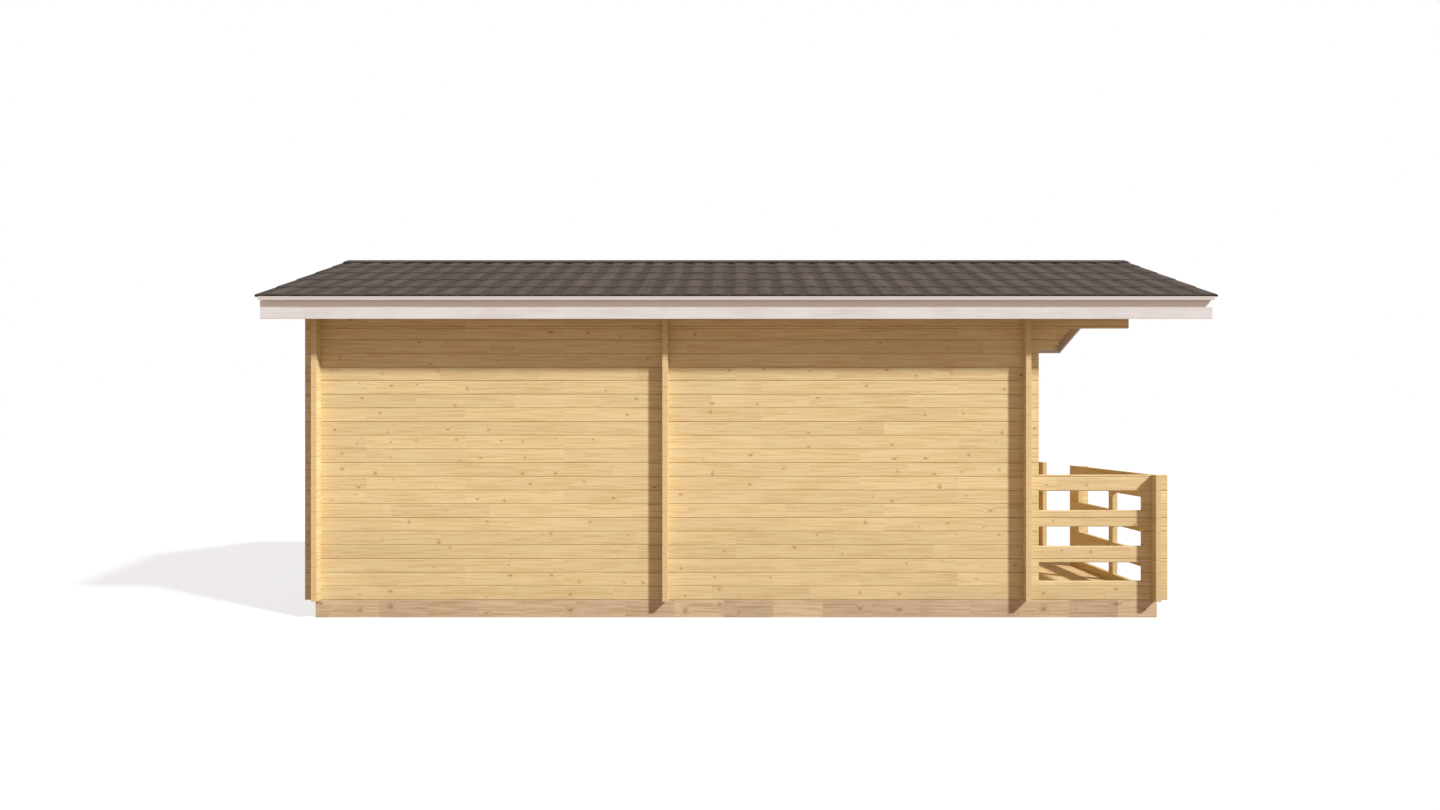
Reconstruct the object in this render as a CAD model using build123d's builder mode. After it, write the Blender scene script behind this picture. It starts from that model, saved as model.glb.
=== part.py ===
"""A prefab cabin of interlocking planks: two rooms, a covered porch and a tiled gable roof.

The frame: +X runs along the cabin to the porch, +Z is up, the ground is z = 0 and the
middle of the base is the origin. Left is the side at -Y, right the side at +Y.
"""
import math
import os

from build123d import *

os.makedirs("parts", exist_ok=True)

# Plan, in millimetres
cabin_width = 3000.0
rear_room_length = 2848.0
front_room_length = 2950.0
porch_depth = 1026.0

# Planks and their crossings
log_thickness = 44.0
course = 114.0
groove = 5.0
stub = 88.0
slot_clearance = 0.5
field_courses = 18

# Base and floors
beam_height = 145.0
beam_width = 70.0
joist_width = 45.0
joists_per_room = 4
floor_thickness = 25.0
deck_thickness = 28.0
floor_clearance = 0.5

# Top planks and the corbel over the porch
corbel_height = 210.0
corbel_relief = 35.0
corbel_reach_low = 208.0
corbel_reach_high = 354.0
beam_reach = 836.0
eave_beam_height = 297.6

# Roof
roof_pitch = 17.5
eave_overhang = 350.0
gable_overhang = 335.0
tile_thickness = 22.0
board_thickness = 28.0
trim_setback = 5.0
trim_thickness = 15.0
fascia_setback = 40.0
fascia_thickness = 20.0
fascia_height = 157.4
barge_thickness = 20.0
barge_setback = 23.0
barge_drop = 150.0
mitre_gap = 1.0
cap_width = 140.0
cap_thickness = 3.0
purlin_width = 60.0
ridge_purlin_height = 180.0
mid_purlin_height = 150.0
mid_purlin_offset = 750.0

# Balustrade: the upper edges of the side pieces, rail and spacer in turn, above the base
side_edges = [155.0, 312.0, 446.0, 610.0, 744.0, 907.0, 1041.0]
front_drop = 65.0
corner_spacer_inside = 72.0
front_spacer_inside = 124.0
middle_spacer_length = 96.0
entry_width = 872.0
entry_spacer_length = 256.0
entry_block_setback = 160.0

# Doorways and windows
door_width = 850.0
door_margin = 151.0
passage_width = 800.0
window_width = 850.0
front_window_margin = 471.0
head_courses = 17
sill_courses = 8
lining_thickness = 36.0
lining_fit = 1.0
casing_thickness = 18.0
casing_overlap = 45.0
stop_width = 14.0
stop_depth = 22.0
leaf_thickness = 40.0
leaf_clearance = 3.0
sash_width = 45.0
sash_depth = 40.0
glass_thickness = 14.0
glass_bite = 8.0
glass_fit = 0.3

# Derived positions
half_log = log_thickness / 2
cabin_length = rear_room_length + front_room_length + porch_depth + 4 * log_thickness
half_length = cabin_length / 2
half_width = cabin_width / 2
rear_x = -half_length + half_log
partition_x = rear_x + log_thickness + rear_room_length
front_x = partition_x + log_thickness + front_room_length
porch_x = half_length - half_log
left_y = -half_width + half_log
right_y = half_width - half_log
front_face = front_x + half_log
wall_end = front_face + stub
rear_end = -half_length - stub
porch_end = half_length + stub
side_end = half_width + stub
wall_base = beam_height
field_top = wall_base + field_courses * course
beam_bottom = field_top + corbel_height
beam_end = front_face + beam_reach
inner_width = half_width - log_thickness

slope = math.tan(math.radians(roof_pitch))
tile_rise = tile_thickness / math.cos(math.radians(roof_pitch))
board_rise = board_thickness / math.cos(math.radians(roof_pitch))
roof_half = half_width + eave_overhang
roof_end = half_length + gable_overhang
trim_front = roof_half - trim_setback
trim_back = trim_front - trim_thickness
fascia_front = trim_front - fascia_setback
fascia_back = fascia_front - fascia_thickness
ridge_height = beam_bottom + eave_beam_height + slope * half_width + board_rise + tile_rise
barge_outer = roof_end - barge_setback
barge_inner = barge_outer - barge_thickness

plank_rows = math.ceil((ridge_height - wall_base) / course)
long_joints = [wall_base + n * course for n in range(plank_rows)]
cross_joints = [z + course / 2 for z in long_joints]
head = cross_joints[head_courses]
sill = cross_joints[sill_courses]
threshold = cross_joints[0]
cross_walls = [rear_x, partition_x, front_x]
long_walls = [left_y, right_y]

door_high = inner_width - door_margin
door_low = door_high - door_width
door_centre = (door_low + door_high) / 2
passage_low = door_centre - passage_width / 2
passage_high = door_centre + passage_width / 2
front_window_low = -inner_width + front_window_margin
front_window_high = front_window_low + window_width
rear_window_low = -window_width / 2
rear_window_high = window_width / 2

entry_far = inner_width - front_spacer_inside
entry_edge = entry_far - entry_width
entry_spacer_from = entry_edge - entry_spacer_length
entry_block_y = entry_edge - entry_block_setback + half_log
middle_spacer_y = (entry_spacer_from - inner_width) / 2


def tile_top(y):
    return ridge_height - slope * abs(y)


def board_top(y):
    return tile_top(y) - tile_rise


def roof_under(y):
    return board_top(y) - board_rise


def fascia_under(y):
    """The lower edge of the fascia, level at every y."""
    return roof_under(fascia_front) - fascia_height


def stack_outline(centre, outward, low, high, joints):
    """End view of stacked planks: a V groove at each joint on the outward face, flush inside."""
    edge = [(half_log - groove, low), (half_log, low + groove)]
    for z in joints:
        if low + 2 * groove < z < high - 2 * groove:
            edge += [(half_log, z - groove), (half_log - groove, z), (half_log, z + groove)]
    edge += [(half_log, high - groove), (half_log - groove, high), (-half_log, high), (-half_log, low)]
    return [(centre + outward * u, z) for u, z in edge]


def roof_profile(x):
    """The space under the roof boards as a face across the cabin at x."""
    with BuildSketch(Plane.YZ.offset(x)) as profile:
        with BuildLine():
            Polyline(
                (-roof_half, 0),
                (roof_half, 0),
                (roof_half, roof_under(roof_half)),
                (0, roof_under(0)),
                (-roof_half, roof_under(roof_half)),
                close=True,
            )
        make_face()
    return profile.sketch


def cut_slots(points, height):
    """Slots for the crossing planks, through the full thickness."""
    width = log_thickness + 2 * slot_clearance
    if not points:
        return
    with Locations(*points):
        Box(width, width, height, mode=Mode.SUBTRACT)


def cut_slot_list(x, y, spans):
    """Slots of differing heights, one for each neck of the crossing pieces."""
    for low, high in spans:
        cut_slots([(x, y, (low + high) / 2)], high - low)


def long_stack(y, x_from, x_to, low, high, under_roof=False):
    """Planks that run along the cabin, slotted where the cross walls pass."""
    with BuildPart() as stack:
        with BuildSketch(Plane.YZ.offset(x_from)):
            with BuildLine():
                Polyline(*stack_outline(y, math.copysign(1, y), low, high, long_joints), close=True)
            make_face()
        extrude(amount=x_to - x_from)
        if under_roof:
            extrude(roof_profile(x_from), amount=x_to - x_from, mode=Mode.INTERSECT)
        levels = [z for z in long_joints if low - course / 4 < z < high + course / 4]
        cut_slots([(x, y, z) for x in cross_walls for z in levels], course / 2)
    return stack


def cross_stack(x, y_from, y_to, low, high, under_roof=False, pockets=()):
    """Planks that run across the cabin, slotted where the long walls pass."""
    with BuildPart() as stack:
        with BuildSketch(Plane.XZ.offset(-y_to)):
            with BuildLine():
                Polyline(*stack_outline(x, math.copysign(1, x - partition_x), low, high, cross_joints), close=True)
            make_face()
        extrude(amount=y_to - y_from)
        if under_roof:
            face = roof_profile(x - log_thickness)
            extrude(face, amount=2 * log_thickness, mode=Mode.INTERSECT)
        for pocket in pockets:
            add(pocket, mode=Mode.SUBTRACT)
        levels = [z for z in cross_joints if low - course / 4 < z < high + course / 4]
        crossings = [y for y in long_walls if y_from < y < y_to]
        cut_slots([(x, y, z) for y in crossings for z in levels], course / 2)
    return stack


def slope_slab(side, y_in, y_out, lower, upper, x_half):
    """A piece of constant section along the cabin on one roof slope."""
    with BuildPart() as slab:
        with BuildSketch(Plane.YZ.offset(-x_half)):
            with BuildLine():
                Polyline(
                    (side * y_in, lower(y_in)),
                    (side * y_out, lower(y_out)),
                    (side * y_out, upper(y_out)),
                    (side * y_in, upper(y_in)),
                    close=True,
                )
            make_face()
        extrude(amount=2 * x_half)
    return slab


def save(piece, name):
    piece.part.label = name
    export_step(piece.part, f"parts/{name}.step")


# Base: two long beams with cross joists between them
with BuildPart() as base_beams:
    for y in (-half_width + beam_width / 2, half_width - beam_width / 2):
        with Locations((0, y, beam_height / 2)):
            Box(cabin_length, beam_width, beam_height)
save(base_beams, "base_beams")

beam_inner = cabin_width - 2 * beam_width
joist_xs = []
for start, stop in ((rear_x, partition_x), (partition_x, front_x)):
    step = (stop - start) / (joists_per_room + 1)
    joist_xs += [start + step * n for n in range(1, joists_per_room + 1)]
joist_xs.append((front_x + porch_x) / 2)
end_beam_x = half_length - beam_width / 2
cross_beam_xs = [-end_beam_x, partition_x, front_x, end_beam_x]
with BuildPart() as base_joists:
    with Locations(*[(x, 0, beam_height / 2) for x in joist_xs]):
        Box(joist_width, beam_inner, beam_height)
    with Locations(*[(x, 0, beam_height / 2) for x in cross_beam_xs]):
        Box(beam_width, beam_inner, beam_height)
save(base_joists, "base_joists")

# Floors of the two rooms and the porch deck
floor_width = 2 * (inner_width - floor_clearance)


def room_floor(x_from, x_to):
    with BuildPart() as floor:
        with Locations(((x_from + x_to) / 2, 0, wall_base + floor_thickness / 2)):
            Box(x_to - x_from - 2 * floor_clearance, floor_width, floor_thickness)
    return floor


rear_room_floor = room_floor(rear_x + half_log, partition_x - half_log)
save(rear_room_floor, "rear_room_floor")
front_room_floor = room_floor(partition_x + half_log, front_x - half_log)
save(front_room_floor, "front_room_floor")

deck_from = front_face + floor_clearance
deck_to = porch_x - half_log - floor_clearance
with BuildPart() as porch_deck:
    with BuildSketch(Plane.XY.offset(wall_base)):
        with Locations(((deck_from + deck_to) / 2, 0)):
            Rectangle(deck_to - deck_from, floor_width)
        with Locations(((deck_from + half_length) / 2, (entry_edge + entry_far) / 2)):
            Rectangle(half_length - deck_from, entry_far - entry_edge - 2 * floor_clearance)
    extrude(amount=deck_thickness)
save(porch_deck, "porch_deck")

# Purlins under the roof, through the gables and out over the porch
purlin_length = beam_end - rear_end
with BuildPart() as ridge_purlin:
    with BuildSketch(Plane.YZ.offset(rear_end)):
        with BuildLine():
            Polyline(
                (-purlin_width / 2, roof_under(0) - ridge_purlin_height),
                (purlin_width / 2, roof_under(0) - ridge_purlin_height),
                (purlin_width / 2, roof_under(purlin_width / 2)),
                (0, roof_under(0)),
                (-purlin_width / 2, roof_under(purlin_width / 2)),
                close=True,
            )
        make_face()
    extrude(amount=purlin_length)
save(ridge_purlin, "ridge_purlin")

purlin_in = mid_purlin_offset - purlin_width / 2
purlin_out = mid_purlin_offset + purlin_width / 2
purlin_bottom = roof_under(mid_purlin_offset) - mid_purlin_height
with BuildPart() as mid_purlins:
    with BuildSketch(Plane.YZ.offset(rear_end)):
        for side in (-1, 1):
            with BuildLine():
                Polyline(
                    (side * purlin_in, purlin_bottom),
                    (side * purlin_out, purlin_bottom),
                    (side * purlin_out, roof_under(purlin_out)),
                    (side * purlin_in, roof_under(purlin_in)),
                    close=True,
                )
            make_face()
    extrude(amount=purlin_length)
save(mid_purlins, "mid_purlins")

# Long walls: planks up to the corbel, the corbel planks, and the eave beam above them
corbel_low_x = front_face + corbel_reach_low
corbel_high_x = front_face + corbel_reach_high
for side_name, wall_y in (("left", left_y), ("right", right_y)):
    wall = long_stack(wall_y, rear_end, wall_end, wall_base, field_top)
    save(wall, f"{side_name}_wall")

    with BuildPart() as corbel:
        add(long_stack(wall_y, rear_end, corbel_high_x, field_top, beam_bottom).part)
        with BuildSketch(Plane.XZ.offset(-wall_y - log_thickness)):
            with BuildLine():
                Polyline(
                    (rear_end, field_top),
                    (wall_end, field_top),
                    (wall_end, field_top + corbel_relief),
                    (corbel_low_x, field_top + corbel_relief),
                    (corbel_high_x, beam_bottom),
                    (rear_end, beam_bottom),
                    close=True,
                )
            make_face()
        extrude(amount=2 * log_thickness, mode=Mode.INTERSECT)
    save(corbel, f"{side_name}_corbel_planks")

    beam = long_stack(wall_y, rear_end, beam_end, beam_bottom, roof_under(inner_width) + groove, True)
    save(beam, f"{side_name}_eave_beam")

# Cross walls, each in lengths between the openings with the gable above
pockets = [ridge_purlin.part] + list(mid_purlins.part.solids())


def gable(x):
    """Planks over the openings, cut to the roof and pocketed for the purlins."""
    return cross_stack(x, -side_end, side_end, head, roof_under(0), True, pockets)


save(cross_stack(rear_x, -side_end, side_end, wall_base, sill), "rear_wall_lower")
with BuildPart() as rear_wall_piers:
    add(cross_stack(rear_x, -side_end, rear_window_low, sill, head).part)
    add(cross_stack(rear_x, rear_window_high, side_end, sill, head).part)
save(rear_wall_piers, "rear_wall_piers")
save(gable(rear_x), "rear_gable")

with BuildPart() as partition_sides:
    add(cross_stack(partition_x, -side_end, passage_low, wall_base, head).part)
    add(cross_stack(partition_x, passage_high, side_end, wall_base, head).part)
save(partition_sides, "partition_sides")
save(gable(partition_x), "partition_gable")

save(cross_stack(front_x, -side_end, side_end, wall_base, threshold), "front_wall_sole")
save(cross_stack(front_x, -side_end, door_low, threshold, sill), "front_wall_lower")
with BuildPart() as front_wall_piers:
    add(cross_stack(front_x, -side_end, front_window_low, sill, head).part)
    add(cross_stack(front_x, front_window_high, door_low, sill, head).part)
    add(cross_stack(front_x, door_high, side_end, threshold, head).part)
save(front_wall_piers, "front_wall_piers")
save(gable(front_x), "front_gable")


# Frames: a lining through the wall with casings on both faces, then leaf and panes
def opening_frame(x, centre, width, low, casing_low, stop_in, stop_thickness, stop_x):
    """A lined opening with a ring inside it that the leaf or the pane sits against."""
    middle = (low + head) / 2
    tall = head - low
    inner_w = width - 2 * lining_thickness
    inner_h = tall - 2 * lining_thickness
    depth = log_thickness + 2 * casing_thickness
    casing_high = head + casing_overlap
    with BuildPart() as frame:
        with Locations((x, centre, middle)):
            Box(depth, width - 2 * lining_fit, tall - 2 * lining_fit)
        for offset in (-(half_log + casing_thickness / 2), half_log + casing_thickness / 2):
            with Locations((x + offset, centre, (casing_low + casing_high) / 2)):
                Box(casing_thickness, width + 2 * casing_overlap, casing_high - casing_low)
        with Locations((x, centre, middle)):
            Box(depth, inner_w, inner_h, mode=Mode.SUBTRACT)
        with Locations((x + stop_x, centre, middle)):
            Box(stop_thickness, inner_w, inner_h)
            Box(stop_thickness, inner_w - 2 * stop_in, inner_h - 2 * stop_in, mode=Mode.SUBTRACT)
    return frame


def glazed_frame(x, centre, name):
    """A window frame with a sash, grooved for its pane, and the pane."""
    tall = head - sill
    middle = (head + sill) / 2
    pane_w = window_width - 2 * (lining_thickness + sash_width - glass_bite)
    pane_h = tall - 2 * (lining_thickness + sash_width - glass_bite)
    with BuildPart() as frame:
        ring = opening_frame(x, centre, window_width, sill, sill - casing_overlap, sash_width, sash_depth, 0)
        add(ring.part)
        with Locations((x, centre, middle)):
            Box(glass_thickness, pane_w + 2 * glass_fit, pane_h + 2 * glass_fit, mode=Mode.SUBTRACT)
    save(frame, f"{name}_frame")
    with BuildPart() as pane:
        with Locations((x, centre, middle)):
            Box(glass_thickness, pane_w, pane_h)
    save(pane, f"{name}_glass")


glazed_frame(front_x, (front_window_low + front_window_high) / 2, "front_window")
glazed_frame(rear_x, 0, "rear_window")

outer_reach = half_log + casing_thickness
stop_x = outer_reach - leaf_thickness - stop_depth / 2
door_frame = opening_frame(
    front_x, door_centre, door_width, threshold, threshold, stop_width, stop_depth, stop_x
)
save(door_frame, "door_frame")

leaf_w = door_width - 2 * (lining_thickness + leaf_clearance)
leaf_h = head - threshold - 2 * (lining_thickness + leaf_clearance)
with BuildPart() as door_leaf:
    with Locations((front_x + outer_reach - leaf_thickness / 2, door_centre, (head + threshold) / 2)):
        Box(leaf_thickness, leaf_w, leaf_h)
save(door_leaf, "door_leaf")

# Balustrade levels: the front pieces sit lower than the side ones, so that they lock at the corners
side_levels = [wall_base] + [wall_base + z for z in side_edges]
front_levels = [wall_base] + [z - front_drop for z in side_levels[1:-1]] + [side_levels[-1]]
pieces = range(len(side_edges))
rails = pieces[::2]
spacers = pieces[1::2]
front_necks = []
side_necks = []
for n in pieces:
    front_low = (front_levels[n] + side_levels[n]) / 2
    shared = (side_levels[n] + front_levels[n + 1]) / 2
    side_high = (front_levels[n + 1] + side_levels[n + 1]) / 2
    front_necks.append((front_low, shared))
    side_necks.append((shared, side_high))


def side_pieces(y, x_from, x_to, spans):
    """Balustrade lengths along a side, lapped where the front pieces cross."""
    with BuildPart() as lengths:
        for low, high in spans:
            with BuildSketch(Plane.YZ.offset(x_from)):
                with BuildLine():
                    Polyline(*stack_outline(y, math.copysign(1, y), low, high, long_joints), close=True)
                make_face()
        extrude(amount=x_to - x_from)
        cut_slot_list(porch_x, y, front_necks)
    return lengths


def front_pieces(y_spans, spans, crossings):
    """Balustrade lengths across the porch front, lapped where the side pieces cross."""
    with BuildPart() as lengths:
        for y_from, y_to in y_spans:
            for low, high in spans:
                with BuildSketch(Plane.XZ.offset(-y_to)):
                    with BuildLine():
                        Polyline(*stack_outline(porch_x, 1, low, high, long_joints), close=True)
                    make_face()
            extrude(amount=y_to - y_from)
        for y in crossings:
            cut_slot_list(porch_x, y, side_necks)
    return lengths


side_rail_spans = [(side_levels[n], side_levels[n + 1]) for n in rails]
side_spacer_spans = [(side_levels[n], side_levels[n + 1]) for n in spacers]
front_rail_spans = [(front_levels[n], front_levels[n + 1]) for n in rails]
front_spacer_spans = [(front_levels[n], front_levels[n + 1]) for n in spacers]
full_span = [(wall_base, side_levels[-1])]
spacer_x = porch_x - half_log - corner_spacer_inside
corner_spacer_y = -inner_width + front_spacer_inside

save(side_pieces(left_y, wall_end, porch_end, side_rail_spans), "left_balustrade_rails")
save(side_pieces(right_y, wall_end, half_length, side_rail_spans), "right_balustrade_rails")
with BuildPart() as side_spacers:
    add(side_pieces(left_y, spacer_x, porch_end, side_spacer_spans).part)
    add(side_pieces(right_y, spacer_x, half_length, side_spacer_spans).part)
save(side_spacers, "side_spacers")

front_spacer_ys = [
    (-side_end, corner_spacer_y),
    (middle_spacer_y - middle_spacer_length / 2, middle_spacer_y + middle_spacer_length / 2),
    (entry_spacer_from, entry_edge),
]
front_crossings = [left_y, entry_block_y]
front_rails = front_pieces([(-side_end, entry_edge)], front_rail_spans, front_crossings)
save(front_rails, "front_balustrade_rails")
save(front_pieces(front_spacer_ys, front_spacer_spans, front_crossings), "front_spacers")
save(front_pieces([(entry_far, side_end)], full_span, [right_y]), "entry_corner_post")
save(side_pieces(entry_block_y, porch_x - half_log, porch_end, full_span), "entry_end_block")

# Roof: boards on the purlins, the tile sheets, the ridge cap and the white edge boards
for side_name, side in (("left", -1), ("right", 1)):
    save(slope_slab(side, 0, trim_back, roof_under, board_top, barge_inner), f"roof_boards_{side_name}")
    save(slope_slab(side, 0, roof_half, board_top, tile_top, roof_end), f"roof_tiles_{side_name}")

with BuildPart() as eave_trims:
    for side in (-1, 1):
        add(slope_slab(side, trim_back, trim_front, roof_under, board_top, barge_outer).part)
save(eave_trims, "eave_trims")

with BuildPart() as fascias:
    for side in (-1, 1):
        add(slope_slab(side, fascia_back, fascia_front, fascia_under, roof_under, barge_outer).part)
save(fascias, "fascias")

with BuildPart() as ridge_cap:
    with BuildSketch(Plane.YZ.offset(-roof_end)):
        with BuildLine():
            Polyline(
                (-cap_width, tile_top(cap_width)),
                (0, tile_top(0)),
                (cap_width, tile_top(cap_width)),
                (cap_width, tile_top(cap_width) + cap_thickness),
                (0, tile_top(0) + cap_thickness),
                (-cap_width, tile_top(cap_width) + cap_thickness),
                close=True,
            )
        make_face()
    extrude(amount=2 * roof_end)
save(ridge_cap, "ridge_cap")


def barge_boards(x):
    """The pair of sloping boards on one end of the roof, butted to the fascias, with a fine gap at the ridge."""
    with BuildPart() as pair:
        with BuildSketch(Plane.YZ.offset(x)):
            for side in (-1, 1):
                with BuildLine():
                    Polyline(
                        (side * mitre_gap / 2, roof_under(mitre_gap / 2) - barge_drop),
                        (side * fascia_back, roof_under(fascia_back) - barge_drop),
                        (side * fascia_back, roof_under(fascia_back)),
                        (side * trim_back, roof_under(trim_back)),
                        (side * trim_back, board_top(trim_back)),
                        (side * mitre_gap / 2, board_top(mitre_gap / 2)),
                        close=True,
                    )
                make_face()
        extrude(amount=barge_thickness)
    return pair


save(barge_boards(-barge_outer), "rear_barge_boards")
save(barge_boards(barge_inner), "front_barge_boards")
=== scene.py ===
"""Looks of a prefab cabin: planed spruce, coated tile sheets, painted edge boards, joinery and a stage.

Lengths are metres in the cabin's own frame: +X runs to the porch, +Z is up, the ground is z = 0.
"""
import math
from functools import partial

import bmesh
import bpy
from bpy.props import FloatProperty, FloatVectorProperty, IntProperty, PointerProperty
from mathutils import Matrix, Vector


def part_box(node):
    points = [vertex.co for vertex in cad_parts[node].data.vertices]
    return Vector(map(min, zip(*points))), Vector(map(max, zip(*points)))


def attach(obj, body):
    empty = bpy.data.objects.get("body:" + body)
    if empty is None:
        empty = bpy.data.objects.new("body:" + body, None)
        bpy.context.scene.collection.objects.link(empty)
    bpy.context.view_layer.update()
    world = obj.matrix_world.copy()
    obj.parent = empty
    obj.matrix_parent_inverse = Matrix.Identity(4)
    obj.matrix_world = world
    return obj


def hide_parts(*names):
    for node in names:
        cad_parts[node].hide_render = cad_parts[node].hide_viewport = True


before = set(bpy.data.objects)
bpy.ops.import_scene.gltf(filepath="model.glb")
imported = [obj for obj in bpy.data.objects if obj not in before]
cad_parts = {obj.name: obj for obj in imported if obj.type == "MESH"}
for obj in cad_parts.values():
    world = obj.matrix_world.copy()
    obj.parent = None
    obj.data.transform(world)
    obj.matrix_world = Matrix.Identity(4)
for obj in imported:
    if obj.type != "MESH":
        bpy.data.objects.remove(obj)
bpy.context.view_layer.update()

bl_info = {
    "name": "Prefab cabin looks",
    "version": (1, 0, 0),
    "blender": (4, 5, 0),
    "location": "3D View > Sidebar > Cabin",
    "description": "Dresses the prefab cabin with its boards, tile sheets, joinery and finishes",
    "category": "Object",
}

MATH = "ShaderNodeMath"
VECTOR = "ShaderNodeVectorMath"
RANGE = "ShaderNodeMapRange"
COMBINE = "ShaderNodeCombineXYZ"
SEPARATE = "ShaderNodeSeparateXYZ"
NOISE = "ShaderNodeTexNoise"
CHANCE = "ShaderNodeTexWhiteNoise"
# For colours, its two inputs are 6 and 7 and its output is 2
MIX = "ShaderNodeMix"


def linear(code):
    """An sRGB hex value as linear red, green, blue and alpha."""
    shares = [int(code[i:i + 2], 16) / 255 for i in (1, 3, 5)]
    return tuple(s / 12.92 if s <= 0.04045 else ((s + 0.055) / 1.055) ** 2.4 for s in shares) + (1.0,)


def srgb(name, description, code):
    """A colour that the user can change."""
    return FloatVectorProperty(
        name=name, description=description, subtype="COLOR", size=4, min=0, max=1, default=linear(code)
    )


def metres(name, description, default):
    """A length that the user can change."""
    return FloatProperty(name=name, description=description, unit="LENGTH", precision=4, default=default)


def degrees(name, description, default):
    """An angle that the user can change."""
    angle = math.radians(default)
    return FloatProperty(name=name, description=description, subtype="ANGLE", unit="ROTATION", default=angle)


class CabinTimber(bpy.types.PropertyGroup):
    """Sizes and colours of the planks, boards and beams."""

    course: metres("Course", "Height of one wall plank", 0.114)
    block: metres("Block", "Length between the finger joints of a plank", 0.82)
    knot_spacing: metres("Knot spacing", "Mean distance between knots along a plank", 0.3)
    knot_radius: metres("Knot radius", "Radius of the largest knots", 0.018)
    grain: metres("Grain", "Width of a band of grain, drawn wide enough to show", 0.011)
    pale: srgb("Pale wood", "Spring growth of the planed spruce", "#D6C394")
    deep: srgb("Deep wood", "Late growth of the planed spruce", "#CAAD79")
    knot: srgb("Knot", "Colour of the knots", "#8A623D")
    end_grain: srgb("End grain", "Sawn ends of the planks", "#D6C396")
    splashed: srgb("Splashed wood", "Wood that rain has splashed near the ground", "#7E6F59")
    base_pale: srgb("Base, pale", "Treated base timber, pale bands", "#C7B293")
    base_deep: srgb("Base, deep", "Treated base timber, deep bands", "#AC9270")
    deck_pale: srgb("Deck, pale", "Porch and floor boards, pale bands", "#D2B98C")
    deck_deep: srgb("Deck, deep", "Porch and floor boards, deep bands", "#C2A16E")
    floor_board: metres("Floor board", "Aim for the width of a room's floor board", 0.112)
    deck_board: metres("Deck board", "Aim for the pitch of the porch deck boards", 0.121)
    deck_gap: metres("Deck gap", "Gap between the porch deck boards", 0.006)


class CabinRoof(bpy.types.PropertyGroup):
    """Sizes and colours of the roof sheets and the boards at the roof's edges."""

    pitch: degrees("Pitch", "Slope of the roof", 17.5)
    wave: metres("Wave", "Distance between two troughs of the tile sheet", 0.1967)
    first_trough: metres("First trough", "From the sheet's rear end to its first trough", 0.0435)
    wave_height: metres("Wave height", "Depth of the troughs", 0.0105)
    steps: IntProperty(name="Steps", description="Tile rows between eave and ridge", default=5, min=1)
    step_height: metres("Step height", "Rise where one tile row laps the next", 0.0048)
    lean: metres("Lean", "Gap that opens under the sheet from the eave to the ridge", 0.006)
    lip: metres("Lip", "How far the sheet's lip hangs over the trim at the eave", 0.011)
    sheet: metres("Sheet", "Thickness of the profiled steel", 0.0006)
    lining_board: metres("Lining board", "Aim for the width of a roof board", 0.095)
    coat: srgb("Coat", "Matt coat of the steel sheets", "#322925")
    coat_dust: srgb("Dust", "Dust that lies on the coat", "#574C46")
    paint: srgb("Paint", "Paint of the edge boards", "#D6D6D6")
    paint_wear: srgb("Paint, worn", "Grime in the brush marks of the paint", "#C5C0BC")
    # Painted light: paler paint laid into the shadow that the eave trim casts on the fascia
    paint_in_trim_shadow: srgb("Paint, fresh", "Paint that the eave trim shelters", "#F6F4F0")


class CabinJoinery(bpy.types.PropertyGroup):
    """Sizes and colours of the door and the windows."""

    casing: metres("Casing", "Thickness of the casing boards on the wall's faces", 0.018)
    overlap: metres("Overlap", "How far a casing board covers the wall", 0.045)
    lining: metres("Lining", "Thickness of the lining boards in the opening", 0.036)
    sash: metres("Sash", "Width of the window's sash", 0.045)
    sash_depth: metres("Sash depth", "Depth of the window's sash", 0.04)
    bar: metres("Bar", "Width of the window bars", 0.022)
    bar_depth: metres("Bar depth", "How far the window bars stand out from the pane", 0.012)
    stop: metres("Stop", "Width of the door stop", 0.014)
    stop_depth: metres("Stop depth", "Depth of the door stop", 0.022)
    stile: metres("Stile", "Width of the upright pieces of the door leaf", 0.11)
    edge: metres("Edge", "Rounding of the planed edges", 0.0025)
    pale: srgb("Pale wood", "Door and window frames, pale bands", "#C09A62")
    deep: srgb("Deep wood", "Door and window frames, deep bands", "#A97D48")


class CabinStage(bpy.types.PropertyGroup):
    """Camera, light and floor."""

    camera: FloatVectorProperty(
        name="Camera", description="Place of the camera, at eye height", subtype="TRANSLATION",
        unit="LENGTH", default=(0.0, -9.5, 1.584),
    )
    lens: FloatProperty(name="Lens", description="Focal length", subtype="DISTANCE_CAMERA", default=24.035)
    shift_x: FloatProperty(name="Shift X", description="Sideways shift of the view", default=-0.01125)
    shift_y: FloatProperty(name="Shift Y", description="Upward shift of the view", default=0.01528)
    key_from: FloatVectorProperty(
        name="Key from", description="Direction towards the key light", subtype="DIRECTION",
        default=(1.4, -1.0, 1.31),
    )
    key_strength: FloatProperty(name="Key strength", description="Strength of the key light", default=4.8)
    key_width: degrees("Key width", "Angle that the key light fills", 4)
    fill: FloatProperty(name="Fill", description="Strength of the light from all round", default=0.4)
    fill_colour: srgb("Fill colour", "Colour of the light from all round", "#FFE4D3")
    floor_bounce: srgb("Floor bounce", "Colour of the light that the floor returns", "#AE9C95")
    floor_lit: srgb("Floor, lit", "Part of the floor's white that a shadow takes away", "#828282")
    floor_glow: FloatProperty(
        name="Floor glow", description="Part of the floor's white that stays in a shadow", default=0.77
    )


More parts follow.
